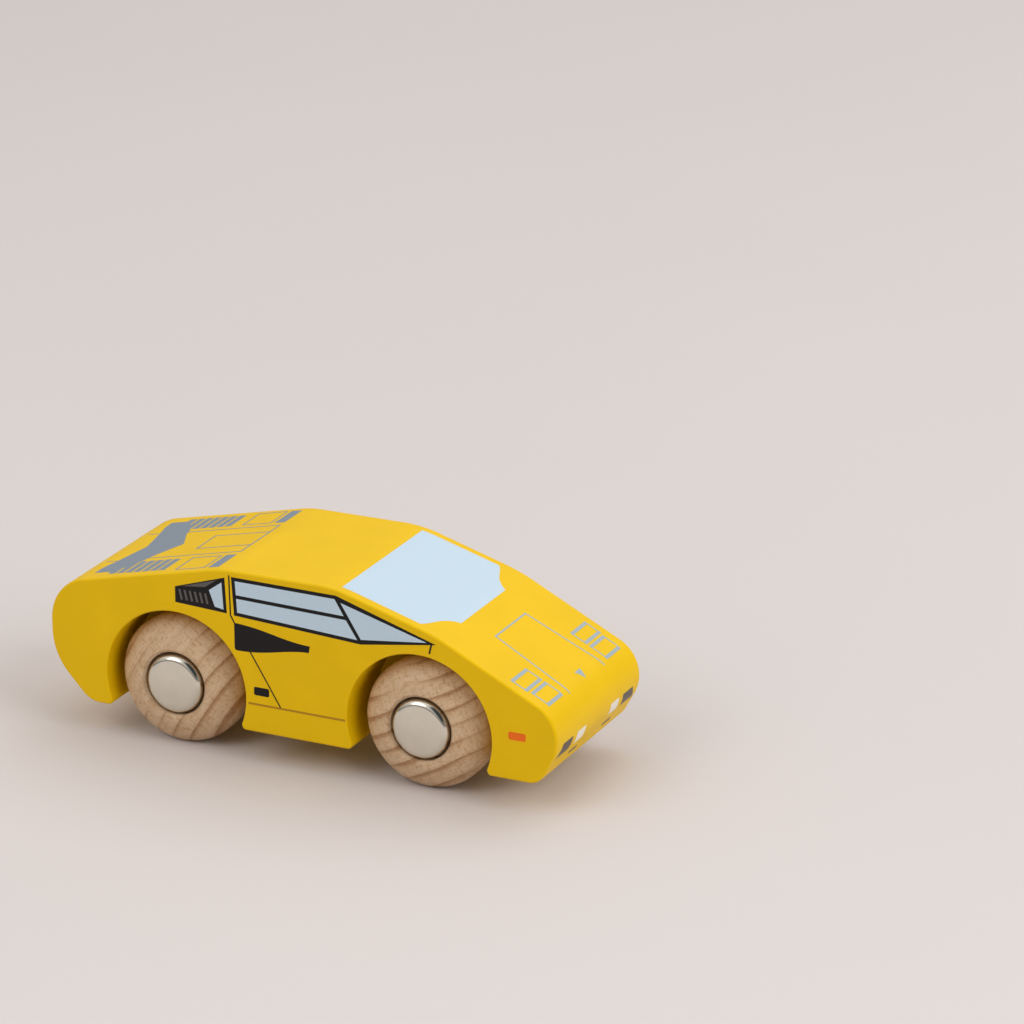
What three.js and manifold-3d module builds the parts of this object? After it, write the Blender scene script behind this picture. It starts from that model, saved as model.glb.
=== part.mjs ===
// A wooden toy sports car: one solid painted body with four round wheel arches bored into its
// sides, two steel axles through it, a loose beech wheel near each axle end, and a polished cap
// over a star washer that keeps each wheel on.
// Millimetres. +X is the nose, +Y the car's left, +Z up. The wheels stand on z = 0.

import * as THREE from "three";
import { mergeVertices } from "three/addons/utils/BufferGeometryUtils.js";
import manifoldModule from "manifold-3d";

const wasm = await manifoldModule();
wasm.setup();

// Body
const BODY_LENGTH = 124.5;
const BODY_WIDTH = 43.5;
const UNDERSIDE_HEIGHT = 7.4;
const EDGE_RADIUS = 0.6;

// Side outline, as discs that a belt is drawn round: where each sits and how round it is
const NOSE_RADIUS = 8.75;
const NOSE_HEIGHT = 17.9;
const CHIN_RADIUS = 4;
const CHIN_SETBACK = 6.85;
const COWL_RADIUS = 40;
const COWL_TOP = 40.4;
const COWL_FROM_NOSE = 43.8;
const ROOF_FRONT_RADIUS = 30;
const ROOF_FRONT_TOP = 44.8;
const ROOF_FRONT_FROM_NOSE = 57.6;
const ROOF_REAR_RADIUS = 25;
const ROOF_REAR_TOP = 44.6;
const ROOF_REAR_FROM_TAIL = 46.25;
const TAIL_TOP_RADIUS = 11;
const TAIL_TOP_HEIGHT = 36.8;
const TAIL_UPRIGHT = 2.5;
const TAIL_KNEE_RAISE = 0.9;
const TAIL_FOOT_RADIUS = 6;
const TAIL_FOOT_SETBACK = 11.95;
const ROOF_LOWEST = 0.5;

// Wheel arches and axle places
const ARCH_CLEARANCE = 2.5;
const FRONT_ARCH_FROM_NOSE = 33.1;
const REAR_ARCH_FROM_TAIL = 31.45;
const REAR_AXLE_SETBACK = 0.8;
const ARCH_FOOT_RADIUS = 1.2;
const ARCH_LIP = 0.4;

// Wheels
const WHEEL_DIAMETER = 30;
const WHEEL_THICKNESS = 13.4;
const TREAD_WIDTH = 3;
const HUB_LAND_WIDTH = 1;
const HUB_INSET = 0.6;
const RECESS_CHAMFER = 0.6;

// Axles, caps and star washers
const AXLE_DIAMETER = 5;
const AXLE_CHAMFER = 0.5;
const CAP_DIAMETER = 13.8;
const CAP_HEIGHT = 3.4;
const CAP_SHOULDER = 1.6;
const CAP_SHEET = 0.45;
const CAP_HEM = 1.1;
const CAP_STAND_OUT = 0.8;
const WASHER_SHEET = 0.4;
const WASHER_TEETH = 8;
const TOOTH_LENGTH = 1.9;
const TOOTH_ROOT_SHARE = 0.7;
const TOOTH_TIP_SHARE = 0.6;
const TOOTH_LEAN = Math.PI / 9;

// Clearances
const BORE_CLEARANCE = 0.3;
const CAP_RADIAL_CLEARANCE = 0.5;
const CAP_END_PLAY = 0.4;
const WHEEL_END_PLAY = 0.8;
const TOOTH_GAP = 0.1;
const WASHER_GAP = 0.15;
const AXLE_END_GAP = 0.3;

// Facets of each round stretch
const OUTLINE_STEPS = 96;
const EDGE_STEPS = 3;
const ARCH_STEPS = 36;
const FOOT_STEPS = 3;
const ROUND_STEPS = 24;
const WHEEL_STEPS = 36;
const DOME_STEPS = 5;
const SHOULDER_STEPS = 3;
const CUT_MARGIN = 1;

// Sizes that follow from the ones above
const NOSE_X = BODY_LENGTH / 2;
const TAIL_X = -BODY_LENGTH / 2;
const SIDE_Y = BODY_WIDTH / 2;
const TAIL_KNEE_HEIGHT = TAIL_TOP_HEIGHT - TAIL_TOP_RADIUS - TAIL_UPRIGHT;
const TAIL_KNEE_RADIUS = TAIL_KNEE_HEIGHT - UNDERSIDE_HEIGHT - TAIL_KNEE_RAISE;
const WHEEL_RADIUS = WHEEL_DIAMETER / 2;
const ARCH_RADIUS = WHEEL_RADIUS + ARCH_CLEARANCE;
const AXLE_RADIUS = AXLE_DIAMETER / 2;
const BORE_RADIUS = AXLE_RADIUS + BORE_CLEARANCE;
const CAP_RADIUS = CAP_DIAMETER / 2;
const RECESS_RADIUS = CAP_RADIUS + CAP_RADIAL_CLEARANCE;
const HUB_LAND_RADIUS = RECESS_RADIUS + RECESS_CHAMFER + HUB_LAND_WIDTH;
const RECESS_DEPTH = CAP_HEIGHT - CAP_STAND_OUT + CAP_END_PLAY;
const HUB_FACE_Y = SIDE_Y - HUB_INSET;
const WHEEL_MIDDLE_Y = HUB_FACE_Y - WHEEL_THICKNESS / 2;
const ARCH_FLOOR_Y = HUB_FACE_Y - WHEEL_THICKNESS - WHEEL_END_PLAY;
const CAP_BACK_Y = HUB_FACE_Y + CAP_STAND_OUT - CAP_HEIGHT;
const AXLE_END_Y = CAP_BACK_Y + CAP_HEIGHT - CAP_SHEET - AXLE_END_GAP;
const AXLE_HEIGHT = WHEEL_RADIUS;
const FRONT_ARCH_X = NOSE_X - FRONT_ARCH_FROM_NOSE;
const REAR_ARCH_X = TAIL_X + REAR_ARCH_FROM_TAIL;
const FRONT_AXLE_X = FRONT_ARCH_X;
const REAR_AXLE_X = REAR_ARCH_X - REAR_AXLE_SETBACK;

const PAINT = new THREE.MeshStandardMaterial({ color: 0xe2aa00, roughness: 0.45, metalness: 0 });
const BEECH = new THREE.MeshStandardMaterial({ color: 0xc49a6c, roughness: 0.6, metalness: 0 });
const POLISHED_STEEL = new THREE.MeshStandardMaterial({ color: 0xd0cdc6, roughness: 0.15, metalness: 1 });
const SPRING_STEEL = new THREE.MeshStandardMaterial({ color: 0x8a8a88, roughness: 0.4, metalness: 1 });

// A solid ready for joining and cutting: shared corners, and no triangle that has shrunk to a line.
function solid(geometry) {
  geometry.deleteAttribute("normal");
  geometry.deleteAttribute("uv");
  const merged = mergeVertices(geometry, 1e-4);
  const index = merged.index.array;
  const kept = [];
  for (let i = 0; i < index.length; i += 3) {
    const [a, b, c] = [index[i], index[i + 1], index[i + 2]];
    if (a !== b && b !== c && c !== a) kept.push(a, b, c);
  }
  return new wasm.Manifold(new wasm.Mesh({
    numProp: 3,
    vertProperties: Float32Array.from(merged.attributes.position.array),
    triVerts: Uint32Array.from(kept),
  }));
}

function geometryOf(manifold) {
  const mesh = manifold.getMesh();
  const geometry = new THREE.BufferGeometry();
  geometry.setAttribute("position", new THREE.BufferAttribute(new Float32Array(mesh.vertProperties), 3));
  geometry.setIndex(new THREE.BufferAttribute(new Uint32Array(mesh.triVerts), 1));
  geometry.computeVertexNormals();
  return geometry;
}

function named(name, geometry, material) {
  const mesh = new THREE.Mesh(geometry, material);
  mesh.name = name;
  return mesh;
}

function arcPoints(x, z, radius, from, to, steps) {
  return Array.from({ length: steps + 1 }, (_, i) => {
    const angle = from + ((to - from) * i) / steps;
    return new THREE.Vector2(x + radius * Math.cos(angle), z + radius * Math.sin(angle));
  });
}

// A tight belt over one set of discs and back under another: in each direction, upwards or downwards,
// it passes the point of the disc that reaches furthest. Roof discs only count where the belt faces well up.
function beltRound(over, under) {
  const points = [];
  for (let i = 0; i < OUTLINE_STEPS; i += 1) {
    const direction = new THREE.Vector2(1, 0).rotateAround(new THREE.Vector2(), (2 * Math.PI * i) / OUTLINE_STEPS);
    const reach = (disc) => disc.centre.dot(direction) + disc.radius;
    const discs = direction.y < 0 ? under : over.filter((disc) => direction.y >= disc.lowest);
    const furthest = discs.reduce((best, disc) => (reach(disc) > reach(best) ? disc : best));
    points.push(direction.multiplyScalar(furthest.radius).add(furthest.centre));
  }
  return points;
}

// The side of the car from nose to tail: a wedge with a nearly flat roof and a tail cut away below.
function sideOutline() {
  const disc = (x, z, radius, lowest = 0) => ({ centre: new THREE.Vector2(x, z), radius, lowest });
  const nose = disc(NOSE_X - NOSE_RADIUS, NOSE_HEIGHT, NOSE_RADIUS);
  const over = [
    nose,
    disc(NOSE_X - COWL_FROM_NOSE, COWL_TOP - COWL_RADIUS, COWL_RADIUS, ROOF_LOWEST),
    disc(NOSE_X - ROOF_FRONT_FROM_NOSE, ROOF_FRONT_TOP - ROOF_FRONT_RADIUS, ROOF_FRONT_RADIUS, ROOF_LOWEST),
    disc(TAIL_X + ROOF_REAR_FROM_TAIL, ROOF_REAR_TOP - ROOF_REAR_RADIUS, ROOF_REAR_RADIUS, ROOF_LOWEST),
    disc(TAIL_X + TAIL_TOP_RADIUS, TAIL_TOP_HEIGHT - TAIL_TOP_RADIUS, TAIL_TOP_RADIUS),
  ];
  const under = [
    disc(TAIL_X + TAIL_KNEE_RADIUS, TAIL_KNEE_HEIGHT, TAIL_KNEE_RADIUS),
    disc(TAIL_X + TAIL_FOOT_SETBACK, UNDERSIDE_HEIGHT + TAIL_FOOT_RADIUS, TAIL_FOOT_RADIUS),
    disc(NOSE_X - CHIN_SETBACK, UNDERSIDE_HEIGHT + CHIN_RADIUS, CHIN_RADIUS),
    nose,
  ];
  return beltRound(over, under);
}

// Turns an outline drawn in x and z into a slab that fills from y = low to y = high.
function slab(outline, low, high, edge) {
  const geometry = new THREE.ExtrudeGeometry(new THREE.Shape(outline), {
    depth: high - low - 2 * edge,
    bevelEnabled: edge > 0,
    bevelThickness: edge,
    bevelSize: edge,
    bevelOffset: -edge,
    bevelSegments: EDGE_STEPS,
  });
  geometry.rotateX(Math.PI / 2);
  geometry.translate(0, high - edge, 0);
  return solid(geometry);
}

// The mouth of one arch: most of a circle, with its two feet rounded into the flat underside.
function archOutline(centreX) {
  const footZ = UNDERSIDE_HEIGHT + ARCH_FOOT_RADIUS;
  const footReach = ARCH_RADIUS + ARCH_FOOT_RADIUS;
  const footX = Math.sqrt(footReach ** 2 - (AXLE_HEIGHT - footZ) ** 2);
  const lowest = Math.atan2(footZ - AXLE_HEIGHT, footX);
  const below = UNDERSIDE_HEIGHT - CUT_MARGIN;
  return [
    new THREE.Vector2(centreX - footX, below),
    new THREE.Vector2(centreX + footX, below),
    ...arcPoints(centreX + footX, footZ, ARCH_FOOT_RADIUS, -Math.PI / 2, lowest - Math.PI, FOOT_STEPS),
    ...arcPoints(centreX, AXLE_HEIGHT, ARCH_RADIUS, lowest, Math.PI - lowest, ARCH_STEPS).slice(1, -1),
    ...arcPoints(centreX - footX, footZ, ARCH_FOOT_RADIUS, -lowest, -Math.PI / 2, FOOT_STEPS),
  ];
}

// The eased lip where an arch comes out of one side of the body.
function archLip(centreX, side) {
  const quarter = arcPoints(ARCH_RADIUS + ARCH_LIP, SIDE_Y - ARCH_LIP, ARCH_LIP, Math.PI, Math.PI / 2, EDGE_STEPS);
  const top = SIDE_Y + CUT_MARGIN;
  const profile = [new THREE.Vector2(0, SIDE_Y - ARCH_LIP), ...quarter];
  profile.push(new THREE.Vector2(ARCH_RADIUS + ARCH_LIP, top), new THREE.Vector2(0, top));
  const geometry = new THREE.LatheGeometry(profile, ARCH_STEPS);
  return solid(onAxle(geometry, centreX, 0, side));
}

function archPocket(centreX, side) {
  const [floor, mouth] = [ARCH_FLOOR_Y, SIDE_Y + CUT_MARGIN];
  return slab(archOutline(centreX), Math.min(side * floor, side * mouth), Math.max(side * floor, side * mouth), 0);
}

function axleBore(x) {
  const geometry = new THREE.CylinderGeometry(BORE_RADIUS, BORE_RADIUS, BODY_WIDTH, ROUND_STEPS);
  geometry.translate(x, 0, AXLE_HEIGHT);
  return solid(geometry);
}

function carBody() {
  let body = slab(sideOutline(), -SIDE_Y, SIDE_Y, EDGE_RADIUS);
  for (const [archX, axleX] of [[FRONT_ARCH_X, FRONT_AXLE_X], [REAR_ARCH_X, REAR_AXLE_X]]) {
    for (const side of [1, -1]) {
      body = body.subtract(archPocket(archX, side)).subtract(archLip(archX, side));
    }
    body = body.subtract(axleBore(axleX));
  }
  return geometryOf(body);
}

// One side of the wheel's domed face, from its hub land out to its tread.
function domePoints(side) {
  const rise = (WHEEL_THICKNESS - TREAD_WIDTH) / 2 / Math.sqrt(1 - (HUB_LAND_RADIUS / WHEEL_RADIUS) ** 2);
  const widest = Math.acos(HUB_LAND_RADIUS / WHEEL_RADIUS);
  return Array.from({ length: DOME_STEPS + 1 }, (_, i) => {
    const angle = widest * (1 - i / DOME_STEPS);
    return new THREE.Vector2(WHEEL_RADIUS * Math.cos(angle), side * (TREAD_WIDTH / 2 + rise * Math.sin(angle)));
  });
}

// A lens-shaped wheel, with a round recess for the cap in its outer face and a bore for the axle.
function wheel() {
  const face = WHEEL_THICKNESS / 2;
  const profile = [
    new THREE.Vector2(BORE_RADIUS, -face),
    ...domePoints(-1),
    ...domePoints(1).reverse(),
    new THREE.Vector2(RECESS_RADIUS + RECESS_CHAMFER, face),
    new THREE.Vector2(RECESS_RADIUS, face - RECESS_CHAMFER),
    new THREE.Vector2(RECESS_RADIUS, face - RECESS_DEPTH),
    new THREE.Vector2(BORE_RADIUS, face - RECESS_DEPTH),
    new THREE.Vector2(BORE_RADIUS, -face),
  ];
  return new THREE.LatheGeometry(profile, WHEEL_STEPS);
}

// A pressed cap: a thin cup with a flat top and a rolled shoulder, hemmed in at its back.
function cap() {
  const cup = (radius, shoulder, back, top) => solid(new THREE.LatheGeometry([
    new THREE.Vector2(0, back),
    new THREE.Vector2(radius, back),
    ...arcPoints(radius - shoulder, top - shoulder, shoulder, 0, Math.PI / 2, SHOULDER_STEPS),
    new THREE.Vector2(0, top),
  ], ROUND_STEPS));
  const outside = cup(CAP_RADIUS, CAP_SHOULDER, 0, CAP_HEIGHT);
  const inside = cup(CAP_RADIUS - CAP_SHEET, CAP_SHOULDER - CAP_SHEET, CAP_SHEET, CAP_HEIGHT - CAP_SHEET);
  const mouth = new THREE.CylinderGeometry(CAP_RADIUS - CAP_HEM, CAP_RADIUS - CAP_HEM, 2 * CAP_SHEET, ROUND_STEPS);
  mouth.translate(0, CAP_SHEET / 2, 0);
  return geometryOf(outside.subtract(inside).subtract(solid(mouth)));
}

// A sprung washer that lies in the cap's hem, its teeth leaning out to grip the axle.
function starWasher() {
  const outer = CAP_RADIUS - CAP_SHEET - WASHER_GAP;
  const tip = AXLE_RADIUS + TOOTH_GAP;
  const root = tip + TOOTH_LENGTH;
  const pitch = (2 * Math.PI) / WASHER_TEETH;
  const hole = [];
  for (let i = 0; i < WASHER_TEETH; i += 1) {
    const corners = [[root, -1], [root, -TOOTH_ROOT_SHARE], [tip, -TOOTH_TIP_SHARE], [tip, TOOTH_TIP_SHARE],
      [root, TOOTH_ROOT_SHARE]];
    for (const [radius, share] of corners) {
      const angle = (i + share / 2) * pitch;
      hole.push(new THREE.Vector2(radius * Math.cos(angle), radius * Math.sin(angle)));
    }
  }
  const shape = new THREE.Shape(arcPoints(0, 0, outer, 0, 2 * Math.PI, ROUND_STEPS).slice(1));
  shape.holes.push(new THREE.Path(hole));
  const geometry = new THREE.ExtrudeGeometry(shape, { depth: WASHER_SHEET, bevelEnabled: false });
  const position = geometry.attributes.position;
  for (let i = 0; i < position.count; i += 1) {
    const inward = Math.max(0, root - Math.hypot(position.getX(i), position.getY(i)));
    position.setZ(i, position.getZ(i) + inward * Math.tan(TOOTH_LEAN));
  }
  geometry.rotateX(-Math.PI / 2);
  geometry.translate(0, CAP_SHEET + WASHER_GAP, 0);
  return geometryOf(solid(geometry));
}

function axle() {
  return new THREE.LatheGeometry([
    new THREE.Vector2(0, -AXLE_END_Y),
    new THREE.Vector2(AXLE_RADIUS - AXLE_CHAMFER, -AXLE_END_Y),
    new THREE.Vector2(AXLE_RADIUS, -AXLE_END_Y + AXLE_CHAMFER),
    new THREE.Vector2(AXLE_RADIUS, AXLE_END_Y - AXLE_CHAMFER),
    new THREE.Vector2(AXLE_RADIUS - AXLE_CHAMFER, AXLE_END_Y),
    new THREE.Vector2(0, AXLE_END_Y),
  ], ROUND_STEPS);
}

// Sets a piece made along +Y on its axle at one side of the car, facing outwards.
function onAxle(geometry, axleX, distance, side) {
  geometry.translate(0, distance, 0);
  if (side < 0) geometry.rotateZ(Math.PI);
  geometry.translate(axleX, 0, AXLE_HEIGHT);
  return geometry;
}

function axleSet(end, axleX) {
  const set = [named(`${end}_axle`, onAxle(axle(), axleX, 0, 1), SPRING_STEEL)];
  for (const [sideName, side] of [["left", 1], ["right", -1]]) {
    const place = `${end}_${sideName}`;
    set.push(named(`${place}_wheel`, onAxle(wheel(), axleX, WHEEL_MIDDLE_Y, side), BEECH));
    set.push(named(`${place}_cap`, onAxle(cap(), axleX, CAP_BACK_Y, side), POLISHED_STEEL));
    set.push(named(`${place}_star_washer`, onAxle(starWasher(), axleX, CAP_BACK_Y, side), SPRING_STEEL));
  }
  return set;
}

const car = new THREE.Group();
car.name = "wooden_toy_car";
car.add(named("car_body", carBody(), PAINT));
car.add(...axleSet("front", FRONT_AXLE_X));
car.add(...axleSet("rear", REAR_AXLE_X));

export default car;
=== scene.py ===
import math
import bmesh
import bpy
from mathutils import Matrix, Vector
from mathutils.geometry import tessellate_polygon


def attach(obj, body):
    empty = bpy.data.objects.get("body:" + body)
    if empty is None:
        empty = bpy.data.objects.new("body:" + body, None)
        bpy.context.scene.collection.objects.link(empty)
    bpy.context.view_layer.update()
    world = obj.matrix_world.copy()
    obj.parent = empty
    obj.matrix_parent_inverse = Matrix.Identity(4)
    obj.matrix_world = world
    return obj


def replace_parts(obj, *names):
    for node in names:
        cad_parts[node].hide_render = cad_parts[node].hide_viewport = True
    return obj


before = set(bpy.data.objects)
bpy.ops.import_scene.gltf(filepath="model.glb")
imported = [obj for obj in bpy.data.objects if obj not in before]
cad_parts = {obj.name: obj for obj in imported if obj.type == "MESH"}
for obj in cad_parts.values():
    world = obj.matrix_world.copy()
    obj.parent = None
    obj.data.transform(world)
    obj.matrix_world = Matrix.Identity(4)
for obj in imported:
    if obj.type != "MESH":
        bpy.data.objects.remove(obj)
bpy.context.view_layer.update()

# A wooden toy car as it looks: painted body, turned beech wheels, polished caps, and print as thin ink.
# Sizes are in millimetres until a mesh becomes an object. +X is the nose, +Y the car's left, +Z up.
MM = 0.001

# Body
BODY_LENGTH = 124.5
BODY_WIDTH = 43.5
UNDERSIDE_HEIGHT = 7.4
EDGE_RADIUS = 0.6

# Side outline, as discs that a belt is drawn round: where each sits and how round it is
NOSE_RADIUS = 8.75
NOSE_HEIGHT = 17.9
CHIN_RADIUS = 4.0
CHIN_SETBACK = 6.85
COWL_RADIUS = 40.0
COWL_TOP = 40.4
COWL_FROM_NOSE = 43.8
ROOF_FRONT_RADIUS = 30.0
ROOF_FRONT_TOP = 44.8
ROOF_FRONT_FROM_NOSE = 57.6
ROOF_REAR_RADIUS = 25.0
ROOF_REAR_TOP = 44.6
ROOF_REAR_FROM_TAIL = 46.25
TAIL_TOP_RADIUS = 11.0
TAIL_TOP_HEIGHT = 36.8
TAIL_UPRIGHT = 2.5
TAIL_KNEE_RAISE = 0.9
TAIL_FOOT_RADIUS = 6.0
TAIL_FOOT_SETBACK = 11.95

# Wheel arches and axle places
ARCH_CLEARANCE = 2.5
FRONT_ARCH_FROM_NOSE = 33.1
REAR_ARCH_FROM_TAIL = 31.45
REAR_AXLE_SETBACK = 0.8
ARCH_FOOT_RADIUS = 1.2
ARCH_LIP = 0.4

# Wheels
WHEEL_DIAMETER = 30.0
WHEEL_THICKNESS = 13.4
TREAD_WIDTH = 3.0
HUB_LAND_WIDTH = 1.0
HUB_INSET = 0.6
RECESS_CHAMFER = 0.6

# Axles and caps
AXLE_DIAMETER = 5.0
CAP_DIAMETER = 13.8
CAP_HEIGHT = 3.4
CAP_SHOULDER = 1.6
CAP_SHEET = 0.45
CAP_HEM = 1.1
CAP_HEM_ROUND = 0.15
CAP_EDGE_TILT = math.radians(4.5)
CAP_STAND_OUT = 0.8

# Clearances
BORE_CLEARANCE = 0.3
CAP_RADIAL_CLEARANCE = 0.5
CAP_END_PLAY = 0.4
WHEEL_END_PLAY = 0.8

# Sizes that follow from the ones above
NOSE_X = BODY_LENGTH / 2
TAIL_X = -BODY_LENGTH / 2
SIDE_Y = BODY_WIDTH / 2
TAIL_KNEE_HEIGHT = TAIL_TOP_HEIGHT - TAIL_TOP_RADIUS - TAIL_UPRIGHT
TAIL_KNEE_RADIUS = TAIL_KNEE_HEIGHT - UNDERSIDE_HEIGHT - TAIL_KNEE_RAISE
WHEEL_RADIUS = WHEEL_DIAMETER / 2
AXLE_HEIGHT = WHEEL_RADIUS
ARCH_RADIUS = WHEEL_RADIUS + ARCH_CLEARANCE
BORE_RADIUS = AXLE_DIAMETER / 2 + BORE_CLEARANCE
CAP_RADIUS = CAP_DIAMETER / 2
RECESS_RADIUS = CAP_RADIUS + CAP_RADIAL_CLEARANCE
RECESS_DEPTH = CAP_HEIGHT - CAP_STAND_OUT + CAP_END_PLAY
HUB_LAND_RADIUS = RECESS_RADIUS + RECESS_CHAMFER + HUB_LAND_WIDTH
HUB_FACE_Y = SIDE_Y - HUB_INSET
ARCH_FLOOR_Y = HUB_FACE_Y - WHEEL_THICKNESS - WHEEL_END_PLAY
FRONT_ARCH_X = NOSE_X - FRONT_ARCH_FROM_NOSE
REAR_ARCH_X = TAIL_X + REAR_ARCH_FROM_TAIL
AXLE_X = {"front": FRONT_ARCH_X, "rear": REAR_ARCH_X - REAR_AXLE_SETBACK}
SIDES = {"left": 1, "right": -1}

# The discs that face up and those that face down: x, z, radius
NOSE_DISC = (NOSE_X - NOSE_RADIUS, NOSE_HEIGHT, NOSE_RADIUS)
DISCS_OVER = (
    NOSE_DISC,
    (NOSE_X - COWL_FROM_NOSE, COWL_TOP - COWL_RADIUS, COWL_RADIUS),
    (NOSE_X - ROOF_FRONT_FROM_NOSE, ROOF_FRONT_TOP - ROOF_FRONT_RADIUS, ROOF_FRONT_RADIUS),
    (TAIL_X + ROOF_REAR_FROM_TAIL, ROOF_REAR_TOP - ROOF_REAR_RADIUS, ROOF_REAR_RADIUS),
    (TAIL_X + TAIL_TOP_RADIUS, TAIL_TOP_HEIGHT - TAIL_TOP_RADIUS, TAIL_TOP_RADIUS),
)
DISCS_UNDER = (
    (TAIL_X + TAIL_KNEE_RADIUS, TAIL_KNEE_HEIGHT, TAIL_KNEE_RADIUS),
    (TAIL_X + TAIL_FOOT_SETBACK, UNDERSIDE_HEIGHT + TAIL_FOOT_RADIUS, TAIL_FOOT_RADIUS),
    (NOSE_X - CHIN_SETBACK, UNDERSIDE_HEIGHT + CHIN_RADIUS, CHIN_RADIUS),
    NOSE_DISC,
)

# Facets of each round stretch
OUTLINE_STEPS = 288
EDGE_STEPS = 5
ARCH_STEPS = 96
FOOT_STEPS = 6
BORE_STEPS = 48
TURNED_STEPS = 96
DOME_STEPS = 20
SHOULDER_STEPS = 10
CROWN_STEPS = 8
CORNER_STEPS = 5

# A cutter reaches this far past what it cuts, and points closer than these distances are one
CUT_MARGIN = 1.0
TURNED_MERGE = 1e-5
SHEET_MERGE = 1e-4
SHEET_CUT = 1e-5
ROUNDING_ERROR = 1e-9

# The skin that takes the print on top: which way it faces under the nose and at the tail
SKIN_FIRST = -math.radians(60)
SKIN_LAST = math.radians(190)
SKIN_STEPS = 600

# Ink stands one layer off the paint, print over print one layer more, and its back lies in the paint
INK_LAYER = 0.02
INK_ROOT = 0.05

# How far each wheel has turned, in radians, which is how its growth rings lie
WHEEL_SPIN = {"front_left": 1.9, "front_right": 0.48, "rear_left": 2.6, "rear_right": 0.98}

# How fine the grain under the paint is along, across and up the car, and the depth of any bump in metres
GRAIN_STRETCH = (60, 900, 900)
BUMP_DEPTH = 0.0001

# Camera: where it looks, from which side and how far off, and its lens and sensor in millimetres
LOOK_AT = Vector((28.1, 27.6, 48.9)) * MM
CAMERA_AZIMUTH = math.radians(25.46)
CAMERA_ELEVATION = math.radians(20.25)
CAMERA_DISTANCE = 1146.8 * MM
CAMERA_LENS = 181.2
CAMERA_SENSOR = 36


def linear(red, green, blue):
    """A colour written as 8-bit screen values, in scene values."""
    def one(value):
        value /= 255
        return value / 12.92 if value <= 0.04045 else ((value + 0.055) / 1.055) ** 2.4
    return (one(red), one(green), one(blue), 1.0)


# Outline of the body

def belt_point(angle):
    """The outline's point and outward direction that face one way in the x z plane."""
    direction = (math.cos(angle), math.sin(angle))
    discs = DISCS_UNDER if direction[1] < -ROUNDING_ERROR else DISCS_OVER
    x, z, radius = max(discs, key=lambda d: d[0] * direction[0] + d[1] * direction[1] + d[2])
    return (x + radius * direction[0], z + radius * direction[1]) + direction


OUTLINE = [belt_point(2 * math.pi * step / OUTLINE_STEPS) for step in range(OUTLINE_STEPS)]


class TopSkin:
    """The skin from under the nose, over the roof, to the tail, measured along its length."""

    def __init__(self):
        turn = SKIN_LAST - SKIN_FIRST
        self.points = [belt_point(SKIN_FIRST + turn * i / SKIN_STEPS) for i in range(SKIN_STEPS + 1)]
        self.run = [0.0]
        for a, b in zip(self.points, self.points[1:]):
            self.run.append(self.run[-1] + math.hypot(b[0] - a[0], b[1] - a[1]))

    def place(self, run):
        """Point and outward direction at a distance along the skin."""
        low = max(i for i in range(len(self.run) - 1) if self.run[i] <= run)
        span = self.run[low + 1] - self.run[low]
        share = (run - self.run[low]) / span if span else 0.0
        return [a + (b - a) * share for a, b in zip(self.points[low], self.points[low + 1])]

    def crossing(self, axis, value, pick):
        """The distance along the skin where x (axis 0) or z (axis 1) passes a value."""
        found = []
        for i, (a, b) in enumerate(zip(self.points, self.points[1:])):
            if a[axis] != b[axis] and min(a[axis], b[axis]) <= value <= max(a[axis], b[axis]):
                share = (value - a[axis]) / (b[axis] - a[axis])
                found.append(self.run[i] + share * (self.run[i + 1] - self.run[i]))
        return pick(found)

    def at_x(self, x):
        """The distance along the skin to a place on top of the car."""
        return self.crossing(0, x, max)

    def at_nose_height(self, z):
        """The distance along the skin to a height on the nose."""
        return self.crossing(1, z, min)

    def stations(self, low, high):
        """The distances between two others at which the skin bends."""
        return [run for run in self.run if low < run < high]


SKIN = TopSkin()


# Mesh helpers

def make_object(name, build, material, smooth_angle=30):
    """Turns a bmesh in millimetres into an object in metres with its own material."""
    bmesh.ops.recalc_face_normals(build, faces=build.faces[:])
    bmesh.ops.scale(build, vec=(MM, MM, MM), verts=build.verts[:])
    mesh = bpy.data.meshes.new(name)
    build.to_mesh(mesh)
    build.free()
    smooth(mesh, smooth_angle)
    obj = bpy.data.objects.new(name, mesh)
    bpy.context.scene.collection.objects.link(obj)
    mesh.materials.append(material)
    return obj


def smooth(mesh, angle):
    """Shades a mesh smooth, apart from edges sharper than an angle in degrees."""
    for polygon in mesh.polygons:
        polygon.use_smooth = True
    mesh.set_sharp_from_angle(angle=math.radians(angle))


def bridge(build, rings):
    """Joins rings of vertices, each with as many points, by four-sided faces."""
    count = len(rings[0])
    for a, b in zip(rings, rings[1:]):
        for i in range(count):
            j = (i + 1) % count
            build.faces.new((a[i], a[j], b[j], b[i]))


def closed_tube(outlines):
    """A solid through rings of points, each with as many points, closed at both ends."""
    build = bmesh.new()
    rings = [[build.verts.new(point) for point in outline] for outline in outlines]
    bridge(build, rings)
    build.faces.new(rings[0])
    build.faces.new(rings[-1])
    return build


def lathe(profile):
    """Turns a closed profile of (radius, y) points about the y axis."""
    build = bmesh.new()
    rings = []
    for step in range(TURNED_STEPS):
        angle = 2 * math.pi * step / TURNED_STEPS
        across, up = math.sin(angle), math.cos(angle)
        rings.append([build.verts.new((r * across, y, r * up)) for r, y in profile])
    bridge(build, rings + rings[:1])
    bmesh.ops.remove_doubles(build, verts=build.verts[:], dist=TURNED_MERGE)
    loose = [edge for edge in build.edges if not edge.link_faces]
    bmesh.ops.delete(build, geom=loose, context="EDGES")
    return build


def arc(x, z, radius, start, end, steps):
    """Points along part of a circle, from one angle to another."""
    angles = [start + (end - start) * i / steps for i in range(steps + 1)]
    return [(x + radius * math.cos(a), z + radius * math.sin(a)) for a in angles]


# Body

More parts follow.
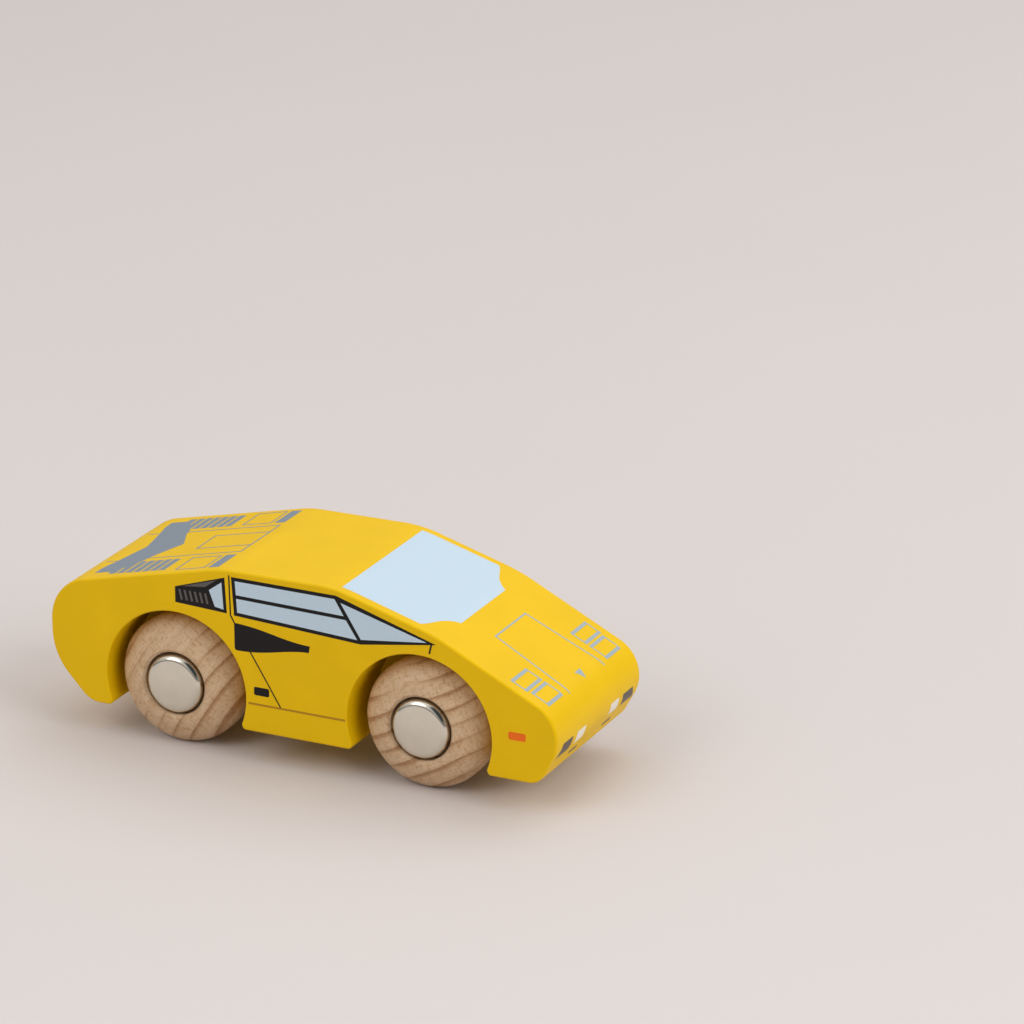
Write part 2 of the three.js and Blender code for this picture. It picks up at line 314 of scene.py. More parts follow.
def body_slab():
    """The whole block with rounded side edges, before the arches are bored."""
    sections = []
    for step in range(EDGE_STEPS + 1):
        turn = math.pi / 2 * step / EDGE_STEPS
        y = SIDE_Y - EDGE_RADIUS * (1 - math.cos(turn))
        sections.append((y, EDGE_RADIUS * (1 - math.sin(turn))))
    sections += [(-y, inset) for y, inset in reversed(sections)]
    return closed_tube([(x - nx * inset, y, z - nz * inset) for x, z, nx, nz in OUTLINE]
                       for y, inset in sections)


def arch_outline(centre_x, widen):
    """The arch's mouth, widened evenly: most of a circle with rounded feet at the underside."""
    foot_z = UNDERSIDE_HEIGHT + ARCH_FOOT_RADIUS
    foot_x = math.sqrt((ARCH_RADIUS + ARCH_FOOT_RADIUS) ** 2 - (AXLE_HEIGHT - foot_z) ** 2)
    lowest = math.atan2(foot_z - AXLE_HEIGHT, foot_x)
    foot = ARCH_FOOT_RADIUS - widen
    below = UNDERSIDE_HEIGHT - CUT_MARGIN
    points = [(centre_x - foot_x, below), (centre_x + foot_x, below)]
    points += arc(centre_x + foot_x, foot_z, foot, -math.pi / 2, lowest - math.pi, FOOT_STEPS)
    mouth = arc(centre_x, AXLE_HEIGHT, ARCH_RADIUS + widen, lowest, math.pi - lowest, ARCH_STEPS)
    points += mouth[1:-1]
    points += arc(centre_x - foot_x, foot_z, foot, -lowest, -math.pi / 2, FOOT_STEPS)
    return points


def arch_cutter(centre_x, side):
    """What is bored out for one wheel, with a lip that widens towards the car's side."""
    sections = [(ARCH_FLOOR_Y, 0.0)]
    for step in range(EDGE_STEPS):
        turn = math.pi / 2 * step / (EDGE_STEPS - 1)
        y = SIDE_Y - ARCH_LIP + ARCH_LIP * math.sin(turn)
        sections.append((y, ARCH_LIP * (1 - math.cos(turn))))
    sections.append((SIDE_Y + CUT_MARGIN, ARCH_LIP))
    return closed_tube([(x, side * y, z) for x, z in arch_outline(centre_x, widen)]
                       for y, widen in sections)


def bore_cutter(x):
    """What is drilled out for one axle."""
    circle = arc(x, AXLE_HEIGHT, BORE_RADIUS, 0, 2 * math.pi, BORE_STEPS)[1:]
    return closed_tube([(px, y, pz) for px, pz in circle] for y in (-SIDE_Y, SIDE_Y))


def cut_away(obj, cutter_build, material):
    """Takes the cutter's shape out of an object's mesh for good."""
    cutter = make_object("cutter", cutter_build, material)
    modifier = obj.modifiers.new("cut", "BOOLEAN")
    modifier.object = cutter
    modifier.operation = "DIFFERENCE"
    modifier.solver = "EXACT"
    evaluated = obj.evaluated_get(bpy.context.evaluated_depsgraph_get())
    cut_mesh = bpy.data.meshes.new_from_object(evaluated)
    obj.modifiers.clear()
    obj.data = cut_mesh
    bpy.data.objects.remove(cutter)


def make_body(material):
    """The painted block with its four arches and two bores."""
    obj = make_object("painted_body", body_slab(), material)
    for end, arch_x in (("front", FRONT_ARCH_X), ("rear", REAR_ARCH_X)):
        for side in SIDES.values():
            cut_away(obj, arch_cutter(arch_x, side), material)
        cut_away(obj, bore_cutter(AXLE_X[end]), material)
    smooth(obj.data, angle=32)
    even = obj.modifiers.new("even_normals", "WEIGHTED_NORMAL")
    even.keep_sharp = True
    even.weight = 100
    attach(obj, "car")
    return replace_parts(obj, "car_body")


# Wheels and caps

def dome(side):
    """One side of the wheel's domed face, from its hub land out to its tread."""
    land = HUB_LAND_RADIUS / WHEEL_RADIUS
    rise = (WHEEL_THICKNESS - TREAD_WIDTH) / 2 / math.sqrt(1 - land ** 2)
    angles = [math.acos(land) * (1 - i / DOME_STEPS) for i in range(DOME_STEPS + 1)]
    half_tread = TREAD_WIDTH / 2
    return [(WHEEL_RADIUS * math.cos(a), side * (half_tread + rise * math.sin(a))) for a in angles]


def wheel_profile():
    """Half of a lens-shaped wheel cut through its axle, with a recess for the cap in its outer face."""
    face = WHEEL_THICKNESS / 2
    return [
        (BORE_RADIUS, -face),
        *dome(-1),
        *reversed(dome(1)),
        (RECESS_RADIUS + RECESS_CHAMFER, face),
        (RECESS_RADIUS, face - RECESS_CHAMFER),
        (RECESS_RADIUS, face - RECESS_DEPTH),
        (BORE_RADIUS, face - RECESS_DEPTH),
    ]


def cap_profile():
    """A thin pressed cup: crowned top, rolled shoulder, straight skirt and a hem turned in at the back."""
    middle = CAP_RADIUS - CAP_SHOULDER
    edge = math.pi / 2 - CAP_EDGE_TILT
    crown_radius = middle / math.sin(CAP_EDGE_TILT) + CAP_SHOULDER
    crown_centre = CAP_HEIGHT - crown_radius
    shoulder_centre = crown_centre + middle / math.tan(CAP_EDGE_TILT)
    outside = arc(middle, shoulder_centre, CAP_SHOULDER, 0, edge, SHOULDER_STEPS)
    crown = arc(0.0, crown_centre, crown_radius, edge, math.pi / 2, CROWN_STEPS)
    inner_round = CAP_SHOULDER - CAP_SHEET
    inside = arc(middle, CAP_HEIGHT - CAP_SHOULDER, inner_round, math.pi / 2, 0, SHOULDER_STEPS)
    return [
        (CAP_RADIUS - CAP_HEM, 0.0),
        (CAP_RADIUS - CAP_HEM_ROUND, 0.0),
        (CAP_RADIUS, CAP_HEM_ROUND),
        *outside,
        *crown[1:-1],
        (0.0, CAP_HEIGHT),
        (0.0, CAP_HEIGHT - CAP_SHEET),
        *inside,
        (CAP_RADIUS - CAP_SHEET, CAP_SHEET),
        (CAP_RADIUS - CAP_HEM, CAP_SHEET),
    ]


def end_and_side(place):
    """Splits a name such as front_left into its end of the car and its side, 1 or -1."""
    end, side_name = place.split("_")
    return end, SIDES[side_name]


def set_on_axle(obj, end, side, distance, spin):
    """Places a piece made along +y on an axle, facing out, turned so that its grain lies its own way."""
    place = Matrix.Translation(Vector((AXLE_X[end], side * distance, AXLE_HEIGHT)) * MM)
    face = Matrix.Rotation(0 if side > 0 else math.pi, 4, "Z")
    obj.matrix_world = place @ face @ Matrix.Rotation(spin, 4, "Y")


def make_wheel(place, material):
    """One turned wheel."""
    end, side = end_and_side(place)
    obj = make_object(f"{place}_beech_wheel", lathe(wheel_profile()), material, smooth_angle=35)
    set_on_axle(obj, end, side, HUB_FACE_Y - WHEEL_THICKNESS / 2, WHEEL_SPIN[place])
    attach(obj, f"{place}_wheel")
    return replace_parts(obj, f"{place}_wheel")


def make_cap(place, material):
    """One pressed cap, which turns with its axle."""
    end, side = end_and_side(place)
    obj = make_object(f"{place}_hub_cap", lathe(cap_profile()), material, smooth_angle=50)
    set_on_axle(obj, end, side, HUB_FACE_Y + CAP_STAND_OUT - CAP_HEIGHT, 0.0)
    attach(obj, f"{end}_axle_set")
    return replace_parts(obj, f"{place}_cap")


# Printed ink: flat shapes in two directions, then laid on the paint

def heading(start, end):
    """The direction from one flat point to another."""
    return Vector((end[0] - start[0], end[1] - start[1])).normalized()


def moved_edges(points, distance):
    """A polygon with every edge moved outwards by a distance, or inwards if negative."""
    sharpest = 0.2
    area = sum(a[0] * b[1] - b[0] * a[1] for a, b in zip(points, points[1:] + points[:1]))
    sign = 1 if area > 0 else -1
    result = []
    for before, here, after in zip(points[-1:] + points[:-1], points, points[1:] + points[:1]):
        a, b = heading(before, here), heading(here, after)
        na = Vector((a.y, -a.x)) * sign
        nb = Vector((b.y, -b.x)) * sign
        miter = (na + nb) / max(1 + na.dot(nb), sharpest)
        result.append((here[0] + miter.x * distance, here[1] + miter.y * distance))
    return result


def stroke(points, width, closed=False):
    """A line of even width through points, as one four-sided shape for each stretch."""
    count = len(points)
    left, right = [], []
    for i, here in enumerate(points):
        a = heading(points[i - 1], here) if closed or i > 0 else None
        b = heading(here, points[(i + 1) % count]) if closed or i < count - 1 else None
        a, b = a or b, b or a
        na, nb = Vector((-a.y, a.x)), Vector((-b.y, b.x))
        miter = (na + nb) / (1 + na.dot(nb)) * width / 2
        left.append((here[0] + miter.x, here[1] + miter.y))
        right.append((here[0] - miter.x, here[1] - miter.y))
    quads = []
    for i in range(count if closed else count - 1):
        j = (i + 1) % count
        quads.append([left[i], left[j], right[j], right[i]])
    return quads


def rounded_box(x, z, width, height, radius):
    """A box round a middle point, with rounded corners."""
    points = []
    corners = ((1, 1, 0), (-1, 1, 1), (-1, -1, 2), (1, -1, 3))
    for sx, sz, quarter in corners:
        centre = (x + sx * (width / 2 - radius), z + sz * (height / 2 - radius))
        start = quarter * math.pi / 2
        points += arc(*centre, radius, start, start + math.pi / 2, CORNER_STEPS)
    return points


def hollow_box(low_u, high_u, low_v, high_v, end_width, side_width):
    """A four-sided frame whose ends and sides may differ in width."""
    outer = [(low_u, low_v), (high_u, low_v), (high_u, high_v), (low_u, high_v)]
    low_u, high_u = low_u + end_width, high_u - end_width
    low_v, high_v = low_v + side_width, high_v - side_width
    inner = [(low_u, low_v), (high_u, low_v), (high_u, high_v), (low_u, high_v)]
    return [[outer[i - 1], outer[i], inner[i], inner[i - 1]] for i in range(4)]


def curve(p0, p1, p2, p3, steps=14):
    """Points along a smooth bend from p0 to p3, pulled towards p1 and p2."""
    points = []
    for i in range(steps + 1):
        t = i / steps
        weights = ((1 - t) ** 3, 3 * t * (1 - t) ** 2, 3 * t * t * (1 - t), t ** 3)
        points.append(tuple(sum(w * p[k] for w, p in zip(weights, (p0, p1, p2, p3))) for k in (0, 1)))
    return points


def mirrored(shapes):
    """Shapes on one half of the car's top, with the same on the other half."""
    return shapes + [[(u, -v) for u, v in reversed(shape)] for shape in shapes]


def flat_sheet(shapes, stations=()):
    """Polygons in a plane, cut into strips at the stations so that they can bend."""
    build = bmesh.new()
    for shape in shapes:
        verts = [build.verts.new((u, v, 0)) for u, v in shape]
        for a, b, c in tessellate_polygon([[Vector((u, v, 0)) for u, v in shape]]):
            build.faces.new((verts[a], verts[b], verts[c]))
    bmesh.ops.remove_doubles(build, verts=build.verts[:], dist=SHEET_MERGE)
    for station in stations:
        everything = build.verts[:] + build.edges[:] + build.faces[:]
        bmesh.ops.bisect_plane(build, geom=everything, dist=SHEET_CUT,
                               plane_co=(station, 0, 0), plane_no=(1, 0, 0))
    bmesh.ops.dissolve_degenerate(build, edges=build.edges[:], dist=SHEET_CUT)
    return build


def thickened(build, lay, layer):
    """Gives a sheet its thin body: its face goes up to the ink's layer and its back into the paint."""
    top = {v: lay(v.co.x, v.co.y, INK_LAYER * layer) for v in build.verts}
    back = {v: lay(v.co.x, v.co.y, -INK_ROOT) for v in build.verts}
    solid = bmesh.new()
    upper = {v: solid.verts.new(co) for v, co in top.items()}
    lower = {v: solid.verts.new(co) for v, co in back.items()}
    for face in build.faces:
        solid.faces.new([upper[v] for v in face.verts])
        solid.faces.new([lower[v] for v in reversed(face.verts)])
    for edge in build.edges:
        if len(edge.link_faces) == 1:
            a, b = edge.verts
            solid.faces.new((upper[a], upper[b], lower[b], lower[a]))
    build.free()
    return solid


def print_on_sides(name, shapes, material, layer=1):
    """Ink on both flat sides of the body, from shapes in x and z."""
    for side_name, side in SIDES.items():
        sheet = flat_sheet(shapes)
        solid = thickened(sheet, lambda u, v, lift: (u, side * (SIDE_Y + lift), v), layer)
        obj = make_object(f"{side_name}_{name}", solid, material)
        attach(obj, "car")


def print_on_top(name, shapes, material, layer=1):
    """Ink that follows the body's skin, from shapes in distance along the skin and y."""
    runs = [u for shape in shapes for u, v in shape]
    sheet = flat_sheet(shapes, SKIN.stations(min(runs), max(runs)))

    def lay(u, v, lift):
        x, z, nx, nz = SKIN.place(u)
        return (x + nx * lift, v, z + nz * lift)

    obj = make_object(name, thickened(sheet, lay, layer), material)
    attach(obj, "car")


def on_deck(points):
    """Points given by x and y, as distances along the skin and y."""
    return [(SKIN.at_x(x), y) for x, y in points]


def on_nose(points):
    """Points given by y and height on the nose, as distances along the skin and y."""
    return [(SKIN.at_nose_height(z), y) for y, z in points]


# What is printed on the sides, by x along the car and height

def print_side_window(black, pane):
    """Two long panes with a bar between them, and a front pane in a thicker frame."""
    line, front_line, post_shift = 0.85, 1.25, 0.22
    rear_top, rear_foot = (-15.9, 42.75), (-15.35, 34.65)
    knee, tip, front_top = (15.3, 33.15), (32.6, 35.75), (9.3, 42.65)
    bar_rear, bar_front = (-15.6, 38.7), (12.0, 38.2)
    frame_shape = moved_edges([rear_top, rear_foot, knee, tip, front_top], line / 2)
    print_on_sides("window_frame", [frame_shape], black)
    upper_pane = [rear_top, bar_rear, bar_front, front_top]
    lower_pane = [bar_rear, rear_foot, knee, bar_front]
    front_pane = [(front_top[0] - post_shift, front_top[1]), (knee[0] - post_shift, knee[1]), tip]
    panes = [moved_edges(long_pane, -line / 2) for long_pane in (upper_pane, lower_pane)]
    panes.append(moved_edges(front_pane, -front_line / 2))
    print_on_sides("window_panes", panes, pane, layer=2)
    print_on_sides("mirror_tick", stroke([(32.4, 35.6), (31.9, 33.4)], 0.4), black, layer=2)


def print_quarter_vent(black, grey, pane):
    """The vent behind the door: a grey upper slope, six slats and a small pane."""
    outline = [(-30.4, 38.7), (-18.0, 42.75), (-17.55, 34.45), (-30.4, 35.0)]
    print_on_sides("quarter_vent", [outline], black)
    upper_slope = [(-28.6, 39.05), (-20.0, 41.8), (-22.9, 39.75)]
    first_slat, pitch, slat, lean = -29.57, 1.286, 0.52, 0.58
    slats = []
    for i in range(6):
        x = first_slat + pitch * i
        slats.append([(x, 38.2), (x + slat, 38.25), (x + slat + lean, 35.85), (x + lean, 35.8)])
    print_on_sides("quarter_slats", [upper_slope] + slats, grey, layer=2)
    glass = [(-21.9, 39.2), (-18.75, 41.5), (-18.35, 35.2), (-20.5, 35.55)]
    print_on_sides("quarter_pane", [glass], pane, layer=2)


def print_door(black, sill_grey):
    """The door's lines, the sill, the intake behind the door and the handle."""
    rear_edge = stroke([(-16.9, 43.5), (-16.65, 34.2), (-15.5, 32.1)], 0.32)
    print_on_sides("door_line", rear_edge, black, layer=2)
    lower_edge = stroke([(-11.9, 26.3), (-8.2, 20.3), (-4.6, 14.4)], 0.3)
    print_on_sides("door_lower_line", lower_edge, black, layer=2)
    print_on_sides("sill_line", stroke([(-12.6, 14.16), (11.3, 14.16)], 0.5), sill_grey)
    over = curve((-15.8, 32.55), (-7.3, 32.2), (-4.5, 30.3), (2.85, 30.1))
    under = curve((2.6, 28.55), (-3.5, 28.4), (-7.5, 26.1), (-15.3, 26.15))
    print_on_sides("side_intake", [over + under + [(-15.75, 26.5)]], black)
    handle = rounded_box(x=-9.25, z=17.3, width=3.75, height=1.95, radius=0.4)
    print_on_sides("door_handle", [handle], black)


def print_marker(orange):
    """The orange lamp low on each front wing."""
    marker = rounded_box(x=52.8, z=17.85, width=4.15, height=1.85, radius=0.45)
    print_on_sides("side_marker", [marker], orange)


# What is printed on top, by x along the car and y across it

def print_windscreen(pane):
    """The windscreen, whose front corners are scooped out."""
    scoop = curve((28.7, 19.6), (30.6, 17.6), (30.4, 13.4), (34.35, 11.0), steps=8)
    half = [(9.8, 19.5)] + scoop
    outline = half + [(x, -y) for x, y in reversed(half)]
    print_on_top("windscreen", [on_deck(outline)], pane)


def print_bonnet(pale_grey):
    """The bonnet's lines, two boxes at each side of it and a small pointer."""
    thin, bar, box_inside = 0.42, 0.85, 11.4
    hood = on_deck([(59.4, 9.0), (40.9, 7.5), (40.9, -7.5), (59.4, -9.0)])
    shapes = stroke(hood, thin)
    for rear, front, outside in ((49.9, 53.95, 19.1), (54.5, 58.9, 18.6)):
        box = hollow_box(SKIN.at_x(front), SKIN.at_x(rear), box_inside, outside, bar, thin)
        shapes += mirrored(box)
    shapes.append(on_deck([(56.9, 1.35), (56.9, -1.35), (59.1, 0.0)]))
    print_on_top("bonnet_lines", shapes, pale_grey)


def deck_wing(front_slat, rear_slat, outside):
    """Half of the wide grey shape across the tail, with the two rearmost slats growing out of it."""
    return [
        (-40.3, 0.3), (-43.7, 7.8), (-44.4, 10.7),
        (front_slat[0], 11.9), (front_slat[0], outside), (front_slat[1], outside), (front_slat[1], 15.0),
        (rear_slat[0], 15.4), (rear_slat[0], outside), (rear_slat[1], outside),
        (-49.1, 17.7), (-53.1, 17.7), (-52.9, 14.2), (-51.6, 9.2),
    ]


def print_rear_deck(blue_grey):
    """Slats, boxes and bars at each side of the rear deck, the wing across it and the lines between."""
    thin = 0.4
    frame_side, frame_front, frame_rear = 9.2, -20.6, -44.0
    inside, outside = 11.4, 19.2
    first_slat, pitch, slat = -34.45, 2.1, 1.65
    slat_edges = [(front, front - slat) for front in (first_slat - i * pitch for i in range(7))]
    wing = deck_wing(*slat_edges[5:], outside)
    shapes = [on_deck([(-49.6, 0.0)] + [(x, -y) for x, y in reversed(wing)] + wing)]
    half = [on_deck([(front, inside), (front, outside), (rear, outside), (rear, inside)])
            for front, rear in slat_edges[:5]]
    box = on_deck([(-31.35, 11.5), (-24.2, 11.5), (-24.2, 19.6), (-31.35, 19.6)])
    half += stroke(box, thin, closed=True)
    half.append(on_deck([(-23.1, 11.2), (-20.5, 11.2), (-20.5, 19.8), (-23.1, 19.8)]))
    half += stroke(on_deck([(-51.9, 9.6), (-54.6, 9.6)]), thin)
    shapes += mirrored(half)
    shapes += stroke(on_deck([(frame_rear, frame_side), (frame_front, frame_side),
                              (frame_front, -frame_side), (frame_rear, -frame_side)]), thin)
    shapes += stroke(on_deck([(-20.8, 4.5), (-34.4, 4.5), (-34.4, -4.5), (-20.8, -4.5)]), thin)
    print_on_top("rear_deck_lines", shapes, blue_grey)


def print_lamps(dark, white):
    """Lamps on the nose, by y and height: a dark, a white and a narrow dark one at each side."""
    lamp = [on_nose([(13.0, 16.5), (18.0, 16.5), (19.9, 13.4), (13.6, 13.4)])]
    slot_lamp = [on_nose([(6.6, 11.7), (10.8, 11.7), (10.8, 10.9), (6.6, 10.9)])]
    print_on_top("nose_dark_lamps", mirrored(lamp + slot_lamp), dark)
    white_lamp = [on_nose([(6.5, 16.6), (10.8, 16.6), (11.2, 13.7), (6.8, 13.7)])]
    print_on_top("nose_white_lamps", mirrored(white_lamp), white)


# Materials

def new_material(name):
    """A material with its nodes and its main shader."""
    material = bpy.data.materials.new(name)
    material.use_nodes = True
    tree = material.node_tree
    return material, tree, tree.nodes["Principled BSDF"]


def object_coordinates(tree):
    """Places on the piece, in metres along its own axes."""
    return tree.nodes.new("ShaderNodeTexCoord").outputs["Object"]


def stretched(tree, coordinates, scale):
    """Coordinates scaled by three factors, so that a pattern comes out longer along one axis."""
    mapping = tree.nodes.new("ShaderNodeMapping")
    mapping.inputs["Scale"].default_value = scale
    tree.links.new(coordinates, mapping.inputs["Vector"])
    return mapping.outputs["Vector"]


def noise(tree, vector, scale, detail=3.0, roughness=0.5):
    """A cloudy pattern from 0 to 1."""
    node = tree.nodes.new("ShaderNodeTexNoise")
    node.inputs["Scale"].default_value = scale
    node.inputs["Detail"].default_value = detail
    node.inputs["Roughness"].default_value = roughness
    tree.links.new(vector, node.inputs["Vector"])
    return node.outputs["Fac"]


def ramp(tree, factor, stops):
    """Colours that blend from stop to stop as a factor grows."""
    node = tree.nodes.new("ShaderNodeValToRGB")
    elements = node.color_ramp.elements
    while len(elements) < len(stops):
        elements.new(0.5)
    for element, (position, colour) in zip(elements, stops):
        element.position = position
        element.color = colour
    tree.links.new(factor, node.inputs["Fac"])
    return node.outputs["Color"]


def spread(tree, factor, low, high):
    """A factor from 0 to 1 spread over another range."""
    node = tree.nodes.new("ShaderNodeMapRange")
    node.inputs["To Min"].default_value = low
    node.inputs["To Max"].default_value = high
    tree.links.new(factor, node.inputs["Value"])
    return node.outputs["Result"]


def product(tree, first, second):
    """Two factors multiplied."""
    node = tree.nodes.new("ShaderNodeMath")
    node.operation = "MULTIPLY"
    tree.links.new(first, node.inputs[0])
    tree.links.new(second, node.inputs[1])
    return node.outputs["Value"]


def tinted(tree, first, second):
    """Two colours multiplied."""
    node = tree.nodes.new("ShaderNodeMix")
    node.data_type = "RGBA"
    node.blend_type = "MULTIPLY"
    node.inputs["Factor"].default_value = 1.0
    tree.links.new(first, node.inputs["A"])
    tree.links.new(second, node.inputs["B"])
    return node.outputs["Result"]


def bump(tree, bsdf, height, strength):
    """Makes a pattern stand out of the surface a little."""
    node = tree.nodes.new("ShaderNodeBump")
    node.inputs["Strength"].default_value = strength
    node.inputs["Distance"].default_value = BUMP_DEPTH
    tree.links.new(height, node.inputs["Height"])
    tree.links.new(node.outputs["Normal"], bsdf.inputs["Normal"])


def shade(colour, factor):
    """A colour made lighter or darker by a factor."""
    return tuple(min(1.0, c * factor) for c in colour[:3]) + (1.0,)


def wood_grain(tree, place):
    """The grain of the body's wood, which runs along the car."""
    return noise(tree, stretched(tree, place, GRAIN_STRETCH), scale=1.0, detail=4.0, roughness=0.55)


def painted_wood():
    """Satin yellow paint, thin enough for the grain to show faintly along the car."""
    material, tree, bsdf = new_material("yellow_paint")
    place = object_coordinates(tree)
    grain = wood_grain(tree, place)
    cloud = noise(tree, place, scale=90, detail=2.0)
    base = linear(233, 189, 0)
    colour = ramp(tree, cloud, [(0.25, shade(base, 0.97)), (0.75, shade(base, 1.03))])
    tree.links.new(colour, bsdf.inputs["Base Color"])
    tree.links.new(spread(tree, grain, 0.40, 0.50), bsdf.inputs["Roughness"])
    bsdf.inputs["Specular IOR Level"].default_value = 0.16
    bump(tree, bsdf, grain, strength=0.12)
    return material


def ink(name, colour, roughness=0.4, dither=0.03):
    """Printed ink: a touch of dot pattern in its colour, over the same faint grain."""
    material, tree, bsdf = new_material(name)
    place = object_coordinates(tree)
    dots = noise(tree, place, scale=5200, detail=1.0)
    grain = wood_grain(tree, place)
    colours = [(0.35, shade(colour, 1 - dither)), (0.65, shade(colour, 1 + dither))]
    tree.links.new(ramp(tree, dots, colours), bsdf.inputs["Base Color"])
    tree.links.new(spread(tree, grain, roughness - 0.04, roughness + 0.06), bsdf.inputs["Roughness"])
    bsdf.inputs["Specular IOR Level"].default_value = 0.2
    bump(tree, bsdf, grain, strength=0.1)
    return material


def place_in_plank(tree):
    """Places in the wood, shifted by where the wheel stands, so that no two wheels have the same grain."""
    shift_per_metre = (7.3, 0.9, 5.1)
    shift = tree.nodes.new("ShaderNodeVectorMath")
    shift.operation = "MULTIPLY_ADD"
    shift.inputs[1].default_value = shift_per_metre
    info = tree.nodes.new("ShaderNodeObjectInfo")
    tree.links.new(info.outputs["Location"], shift.inputs[0])
    tree.links.new(object_coordinates(tree), shift.inputs[2])
    return shift.outputs["Vector"]


def growth_rings(tree, place):
    """A factor that rises through each year's ring and drops at its end, rings about 3.7 mm apart."""
    rings = tree.nodes.new("ShaderNodeTexWave")
    rings.wave_type = "BANDS"
    rings.bands_direction = "Z"
    rings.wave_profile = "SAW"
    rings.inputs["Scale"].default_value = 84
    rings.inputs["Distortion"].default_value = 1.9
    rings.inputs["Detail"].default_value = 1.0
    rings.inputs["Detail Scale"].default_value = 0.6
    tree.links.new(place, rings.inputs["Vector"])
    return rings.outputs["Fac"]


def beech():
    """Bare beech: growth rings that fade here and there, fine pores and short rays."""
    material, tree, bsdf = new_material("beech")
    place = place_in_plank(tree)
    fading = spread(tree, noise(tree, place, scale=75, detail=1.0), 0.5, 1.35)
    early, middle, late = linear(212, 183, 149), linear(204, 172, 136), linear(170, 128, 89)
    stops = [(0.0, middle), (0.2, early), (0.72, middle), (0.93, late), (1.0, late)]
    ring_colour = ramp(tree, product(tree, growth_rings(tree, place), fading), stops)
    bare = (1, 1, 1, 1)
    pores = noise(tree, stretched(tree, place, (500, 2200, 2200)), scale=1.0, detail=2.0, roughness=0.6)
    pore_colour = ramp(tree, pores, [(0.30, linear(234, 222, 208)), (0.5, bare)])
    rays = noise(tree, stretched(tree, place, (2400, 900, 420)), scale=1.0, detail=1.0)
    ray_colour = ramp(tree, rays, [(0.3, linear(240, 230, 218)), (0.5, bare)])
    colour = tinted(tree, tinted(tree, ring_colour, pore_colour), ray_colour)
    tree.links.new(colour, bsdf.inputs["Base Color"])
    tree.links.new(spread(tree, pores, 0.62, 0.48), bsdf.inputs["Roughness"])
    bump(tree, bsdf, pores, strength=0.25)
    return material


def steel(name, colour, roughness):
    """Drawn or pressed steel with faint handling marks in its polish."""
    material, tree, bsdf = new_material(name)
    place = object_coordinates(tree)
    smears = noise(tree, place, scale=320, detail=4.0, roughness=0.6)
    tint = ramp(tree, smears, [(0.3, shade(colour, 0.96)), (0.7, shade(colour, 1.04))])
    tree.links.new(tint, bsdf.inputs["Base Color"])
    tree.links.new(spread(tree, smears, roughness * 0.8, roughness * 1.25), bsdf.inputs["Roughness"])
    bsdf.inputs["Metallic"].default_value = 1.0
    bump(tree, bsdf, noise(tree, place, scale=900, detail=2.0), strength=0.02)
    return material


def floor_material():
    """Pale matt board, hardly uneven."""
    material, tree, bsdf = new_material("floor")
    cloud = noise(tree, object_coordinates(tree), scale=3.0, detail=3.0)
    base = linear(212, 205, 203)
    tint = ramp(tree, cloud, [(0.3, shade(base, 0.985)), (0.7, shade(base, 1.015))])
    tree.links.new(tint, bsdf.inputs["Base Color"])
    bsdf.inputs["Roughness"].default_value = 0.75
    bsdf.inputs["Specular IOR Level"].default_value = 0.2
    return material


def dress_cad_steel(material):
    """Gives the axles and star washers, which keep their own shapes, a steel finish."""
    for name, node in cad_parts.items():
        if name.endswith(("_axle", "_star_washer")):
            node.data.materials.clear()
            node.data.materials.append(material)


# Stage

def make_floor():
    """A wide flat floor that the wheels stand on."""
    build = bmesh.new()
    reach = 4000
    corners = ((-reach, -reach), (reach, -reach), (reach, reach), (-reach, reach))
    build.faces.new([build.verts.new((x, y, 0)) for x, y in corners])
    make_object("floor", build, floor_material())


def make_light(name, place, size, power, colour):
    """A round soft light that faces the car, with its place and size in metres and its power in watts."""
    data = bpy.data.lights.new(name, "AREA")
    data.shape = "DISK"
    data.size = size
    data.energy = power
    data.color = colour
    obj = bpy.data.objects.new(name, data)
    obj.location = place
    obj.rotation_euler = Vector(place).to_track_quat("Z", "Y").to_euler()
    bpy.context.scene.collection.objects.link(obj)
    return obj


def make_world():
    """A pale room, dimmer low down, with one dark patch that shows as a crescent in the caps."""
    world = bpy.data.worlds.new("studio")
    world.use_nodes = True
    tree = world.node_tree
    direction = tree.nodes.new("ShaderNodeTexCoord").outputs["Generated"]
    towards = tree.nodes.new("ShaderNodeVectorMath")
    towards.operation = "DOT_PRODUCT"
    towards.inputs[1].default_value = Vector((0.58, -0.52, 0.62)).normalized()
    tree.links.new(direction, towards.inputs[0])
    pale_wall, dark_patch = (1.0, 0.985, 0.97, 1.0), (0.06, 0.08, 0.09, 1.0)
    room = ramp(tree, towards.outputs["Value"], [(0.80, pale_wall), (0.92, dark_patch)])
    height = tree.nodes.new("ShaderNodeSeparateXYZ")
    tree.links.new(direction, height.inputs["Vector"])
    dim, full = (0.24, 0.23, 0.22, 1.0), (1.0, 1.0, 1.0, 1.0)
    level = ramp(tree, height.outputs["Z"], [(0.0, dim), (0.6, full)])
    background = tree.nodes["Background"]
    background.inputs["Strength"].default_value = 0.84
    tree.links.new(tinted(tree, room, level), background.inputs["Color"])
    bpy.context.scene.world = world


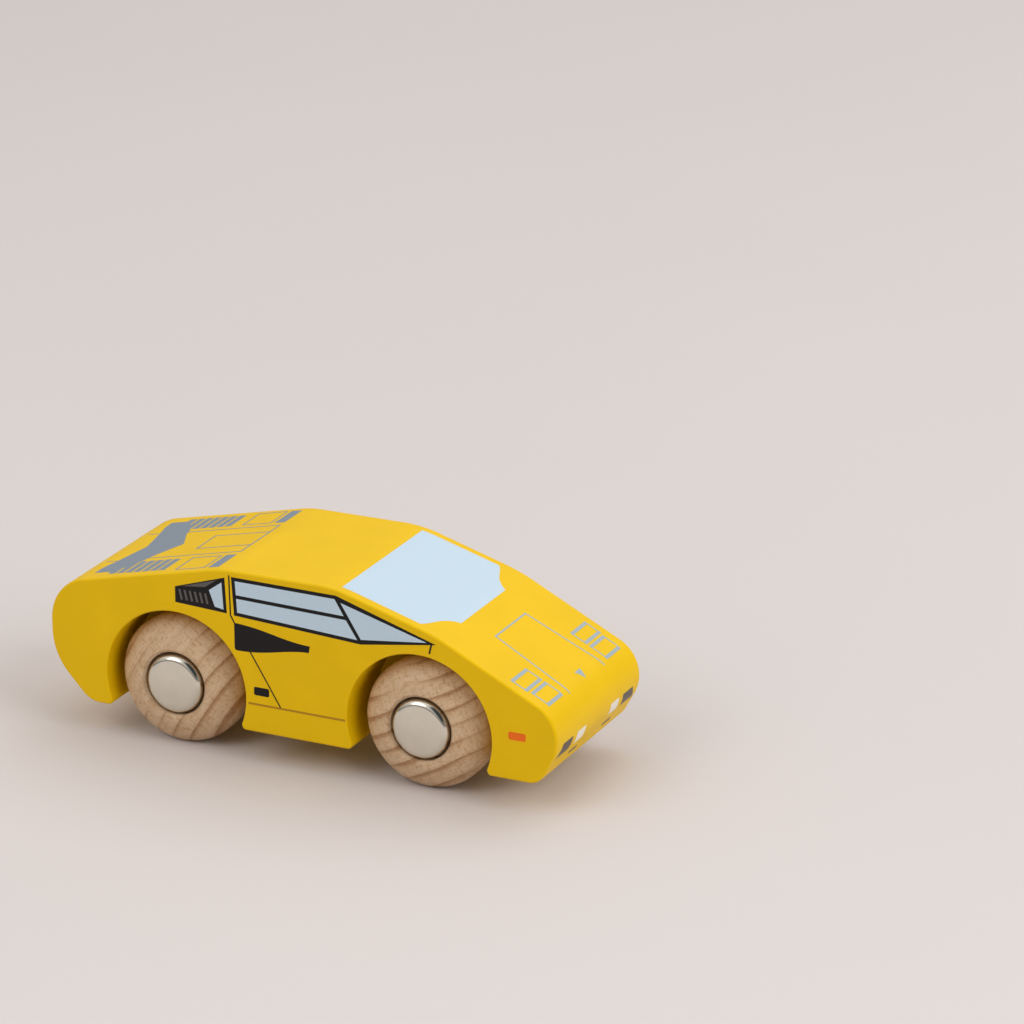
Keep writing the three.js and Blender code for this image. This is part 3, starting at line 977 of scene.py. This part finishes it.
def make_camera():
    """A long lens that sees the car from its right, a little ahead and above."""
    data = bpy.data.cameras.new("camera")
    data.lens = CAMERA_LENS
    data.sensor_width = CAMERA_SENSOR
    data.clip_start = 0.05
    obj = bpy.data.objects.new("camera", data)
    flat = math.cos(CAMERA_ELEVATION)
    rise = math.sin(CAMERA_ELEVATION)
    back = Vector((math.sin(CAMERA_AZIMUTH) * flat, -math.cos(CAMERA_AZIMUTH) * flat, rise))
    obj.location = LOOK_AT + back * CAMERA_DISTANCE
    obj.rotation_euler = back.to_track_quat("Z", "Y").to_euler()
    bpy.context.scene.collection.objects.link(obj)
    bpy.context.scene.camera = obj


def main():
    """Builds the car, then the floor, light and camera around it."""
    bpy.context.scene.view_settings.view_transform = "Standard"
    black = ink("black_ink", linear(22, 19, 20), roughness=0.35, dither=0.06)
    pane = ink("pale_blue_ink", linear(192, 212, 227), roughness=0.38, dither=0.025)
    blue_grey = ink("blue_grey_ink", linear(128, 140, 152))
    pale_grey = ink("pale_grey_ink", linear(156, 172, 178))
    vent_grey = ink("vent_grey_ink", linear(94, 89, 88))
    orange = ink("orange_ink", linear(238, 110, 22))
    sill_grey = ink("sill_ink", linear(178, 128, 24))
    lamp_dark = ink("lamp_grey_ink", linear(92, 82, 76))
    lamp_white = ink("lamp_white_ink", linear(232, 226, 216))
    wood = beech()
    polish = steel("polished_steel", (0.70, 0.66, 0.57, 1.0), roughness=0.14)

    make_body(painted_wood())
    for place in WHEEL_SPIN:
        make_wheel(place, wood)
        make_cap(place, polish)
    dress_cad_steel(steel("axle_steel", (0.42, 0.42, 0.41, 1.0), roughness=0.32))
    print_side_window(black, pane)
    print_quarter_vent(black, vent_grey, pane)
    print_door(black, sill_grey)
    print_marker(orange)
    print_windscreen(pane)
    print_bonnet(pale_grey)
    print_rear_deck(blue_grey)
    print_lamps(lamp_dark, lamp_white)

    make_floor()
    make_world()
    make_light("softbox", place=(0.3, 0.8, 1.3), size=1.2, power=4, colour=(1.0, 0.99, 0.98))
    make_light("fill", place=(-0.9, -1.5, 1.4), size=1.4, power=10, colour=(1.0, 0.98, 0.96))
    key = make_light("key", place=(1.45, -0.3, 0.95), size=1.4, power=16, colour=(1.0, 0.99, 0.97))
    key.visible_glossy = False
    make_camera()


main()
